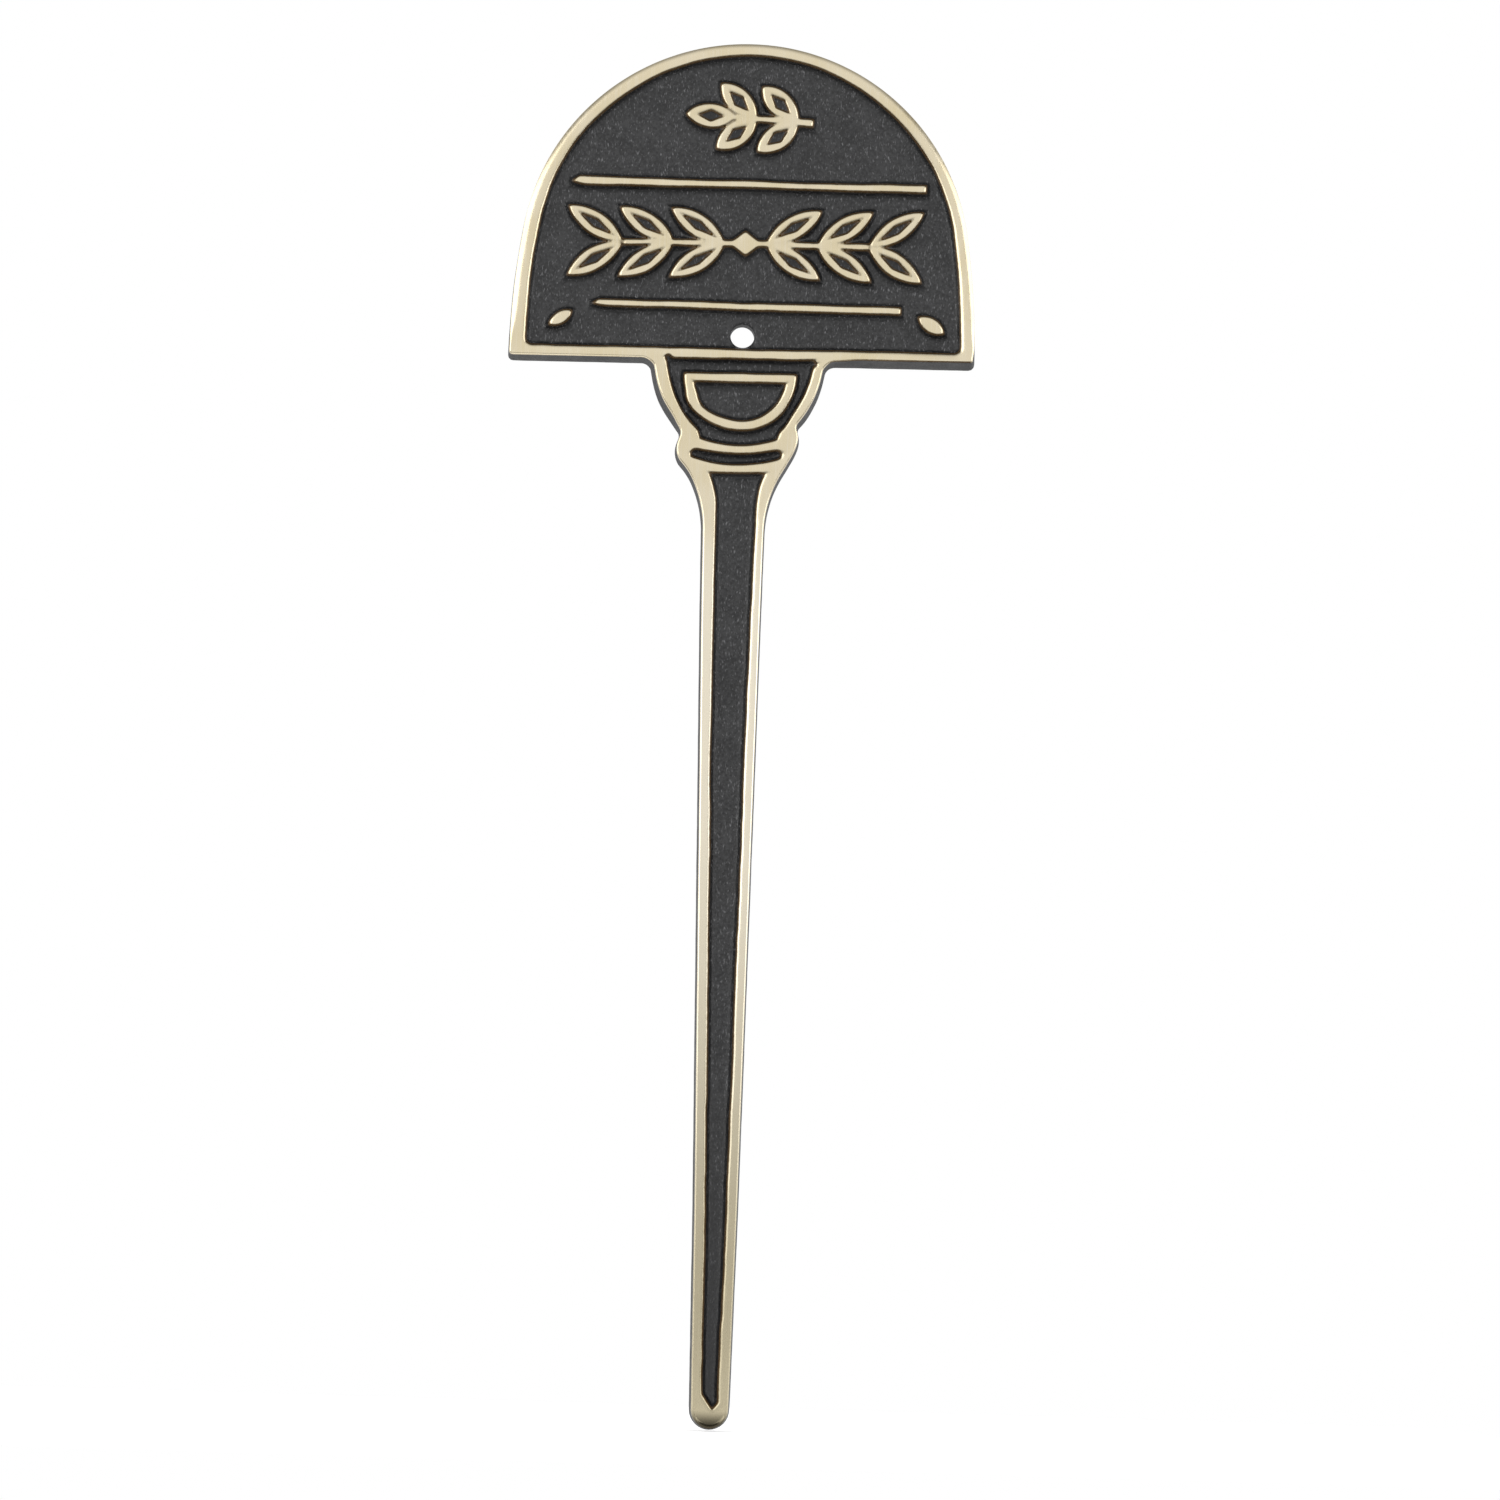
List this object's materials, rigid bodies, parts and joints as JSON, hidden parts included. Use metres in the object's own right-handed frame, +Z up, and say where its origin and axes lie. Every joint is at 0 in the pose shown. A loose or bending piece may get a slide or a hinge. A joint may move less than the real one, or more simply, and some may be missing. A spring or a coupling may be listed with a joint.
{
  "type": "plant label stake",
  "caption": "Flat cast brass plant label stake: half-round plate with rim, leaf relief and nail hole, cup, collar and long tapered spike, black enamel in the recesses.",
  "frame": {"origin": "point of the stake, on the lowest level of the object, midway between its front and back", "axes": "+Z up the stake from its point to the crown of the plate, -Y out of the front, +X to the right as seen from the front"},
  "size_m": [0.0862, 0.0052, 0.2543],
  "materials": {
    "brass": "sand cast, tops linished to a fine satin",
    "enamel": "black satin paint over a sand-cast surface"
  },
  "bodies": {
    "root": {"brass_casting": "brass", "back_enamel": "enamel", "head_enamel": "enamel", "leaf_vein_enamel": "enamel", "cup_channel_enamel": "enamel", "cup_centre_enamel": "enamel", "collar_enamel": "enamel", "stake_enamel": "enamel"}
  },
  "joints": []
}
